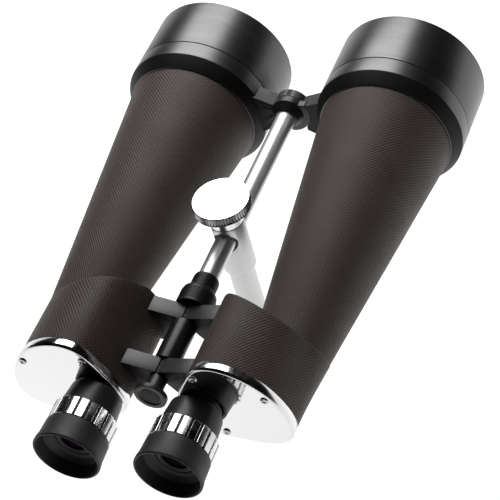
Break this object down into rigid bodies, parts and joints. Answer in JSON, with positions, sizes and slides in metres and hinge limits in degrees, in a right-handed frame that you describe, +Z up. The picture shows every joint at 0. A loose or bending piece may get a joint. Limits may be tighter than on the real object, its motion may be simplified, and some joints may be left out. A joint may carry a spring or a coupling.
{
  "type": "astronomy binoculars",
  "caption": "Giant Porro-prism astronomy binoculars with flared barrels, chrome rear covers, focusing eyepieces and a tripod post that slides along the centre rod.",
  "frame": {"origin": "centre of the tripod post's bottom seat", "axes": "+Y along the optical axes towards the objectives, +X to the user's right, +Z up"},
  "size_m": [0.273, 0.4016, 0.1308],
  "materials": {
    "black_anodised": "black anodised aluminium, fine circumferential turning marks",
    "black_paint": "satin black enamel on cast alloy",
    "matte_black": "matt black anodised",
    "satin_black": "satin black turned alloy",
    "gloss_black": "gloss black moulded tube",
    "covering": "brown-grey rubberised covering with a fine woven texture",
    "chrome": "bright polished plate",
    "screw_steel": "bright steel",
    "ring_metal": "black ring with bright plated bars",
    "eyecup_rubber": "soft matt rubber",
    "objective_glass": "multi-coated, blue-green reflection",
    "eyepiece_glass": "multi-coated, purple reflection",
    "prism_glass": "clear polished prism glass",
    "polished_steel": "polished steel",
    "post_metal": "satin bright aluminium",
    "knob_metal": "bright turned and knurled aluminium",
    "insert_brass": "machined brass",
    "bush_plastic": "dark acetal"
  },
  "bodies": {
    "post": {"tripod_post": "post_metal", "tripod_insert": "insert_brass"},
    "bush": {"rod_bush": "bush_plastic"},
    "rod": {"centre_rod": "polished_steel", "hinge_axle": "polished_steel", "hinge_spacer": "gloss_black", "rod_collar": "satin_black", "rear_cap": "satin_black", "bridge_boss": "black_paint", "bridge_bolt": "matte_black"},
    "barrel_right": {"hood_right": "black_anodised", "objective_ring_right": "black_anodised", "crown_lens_right": "objective_glass", "flint_lens_right": "objective_glass", "lens_retainer_right": "matte_black", "barrel_tube_right": "black_paint", "barrel_covering_right": "covering", "prism_housing_right": "black_paint", "housing_covering_right": "covering", "rear_prism_right": "prism_glass", "front_prism_right": "prism_glass", "prism_shelf_right": "matte_black", "rear_cover_right": "chrome", "cover_screw_1_right": "screw_steel", "cover_screw_2_right": "screw_steel", "cover_screw_3_right": "screw_steel", "eyepiece_base_right": "matte_black"},
    "barrel_left": {"hood_left": "black_anodised", "objective_ring_left": "black_anodised", "crown_lens_left": "objective_glass", "flint_lens_left": "objective_glass", "lens_retainer_left": "matte_black", "barrel_tube_left": "black_paint", "barrel_covering_left": "covering", "prism_housing_left": "black_paint", "housing_covering_left": "covering", "rear_prism_left": "prism_glass", "front_prism_left": "prism_glass", "prism_shelf_left": "matte_black", "rear_cover_left": "chrome", "cover_screw_1_left": "screw_steel", "cover_screw_2_left": "screw_steel", "cover_screw_3_left": "screw_steel", "eyepiece_base_left": "matte_black"},
    "focus_right": {"focus_ring_right": "ring_metal", "eyecup_right": "eyecup_rubber"},
    "focus_left": {"focus_ring_left": "ring_metal", "eyecup_left": "eyecup_rubber"},
    "cell_right": {"lens_cell_right": "matte_black", "eye_lens_right": "eyepiece_glass", "field_lens_right": "eyepiece_glass"},
    "cell_left": {"lens_cell_left": "matte_black", "eye_lens_left": "eyepiece_glass", "field_lens_left": "eyepiece_glass"},
    "shoe": {"clamp_shoe": "insert_brass"},
    "knob": {"clamp_screw": "screw_steel", "clamp_knob": "knob_metal"}
  },
  "joints": [
    {"name": "clamp_lift", "type": "slide", "parent": "post", "child": "shoe", "axis": [0, 0, 1], "range_m": [0, 0.0013]},
    {"name": "clamp_turn", "type": "hinge", "parent": "shoe", "child": "knob", "pos_m": [0, 0, 0.11], "axis": [0, 0, 1], "range_deg": [0, 360]},
    {"name": "rod_swivel", "type": "hinge", "parent": "post", "child": "bush", "pos_m": [0, 0, 0.08], "axis": [0, 1, 0], "range_deg": [-9, 9]},
    {"name": "rod_slide", "type": "slide", "parent": "bush", "child": "rod", "axis": [0, 1, 0], "range_m": [-0.07, 0.034]},
    {"name": "fold_right", "type": "hinge", "parent": "rod", "child": "barrel_right", "pos_m": [0, 0, 0.08], "axis": [0, 1, 0], "range_deg": [0, 38]},
    {"name": "fold_left", "type": "hinge", "parent": "rod", "child": "barrel_left", "pos_m": [0, 0, 0.08], "axis": [0, 1, 0], "range_deg": [-38, 0]},
    {"name": "focus_right", "type": "hinge", "parent": "barrel_right", "child": "focus_right", "pos_m": [0.037, -0.19, 0.08], "axis": [0, 1, 0], "range_deg": [-150, 150]},
    {"name": "cell_right", "type": "slide", "parent": "barrel_right", "child": "cell_right", "axis": [0, 1, 0], "range_m": [-0.004, 0.004]},
    {"name": "focus_left", "type": "hinge", "parent": "barrel_left", "child": "focus_left", "pos_m": [-0.037, -0.19, 0.08], "axis": [0, 1, 0], "range_deg": [-150, 150]},
    {"name": "cell_left", "type": "slide", "parent": "barrel_left", "child": "cell_left", "axis": [0, 1, 0], "range_m": [-0.004, 0.004]}
  ],
  "couplings": [
    {"joint": "clamp_lift", "follows": "clamp_turn", "m_per_rad": 0.00019894},
    {"joint": "fold_left", "follows": "fold_right", "ratio": -1},
    {"joint": "cell_right", "follows": "focus_right", "m_per_rad": 0.0015},
    {"joint": "cell_left", "follows": "focus_left", "m_per_rad": 0.0015}
  ]
}
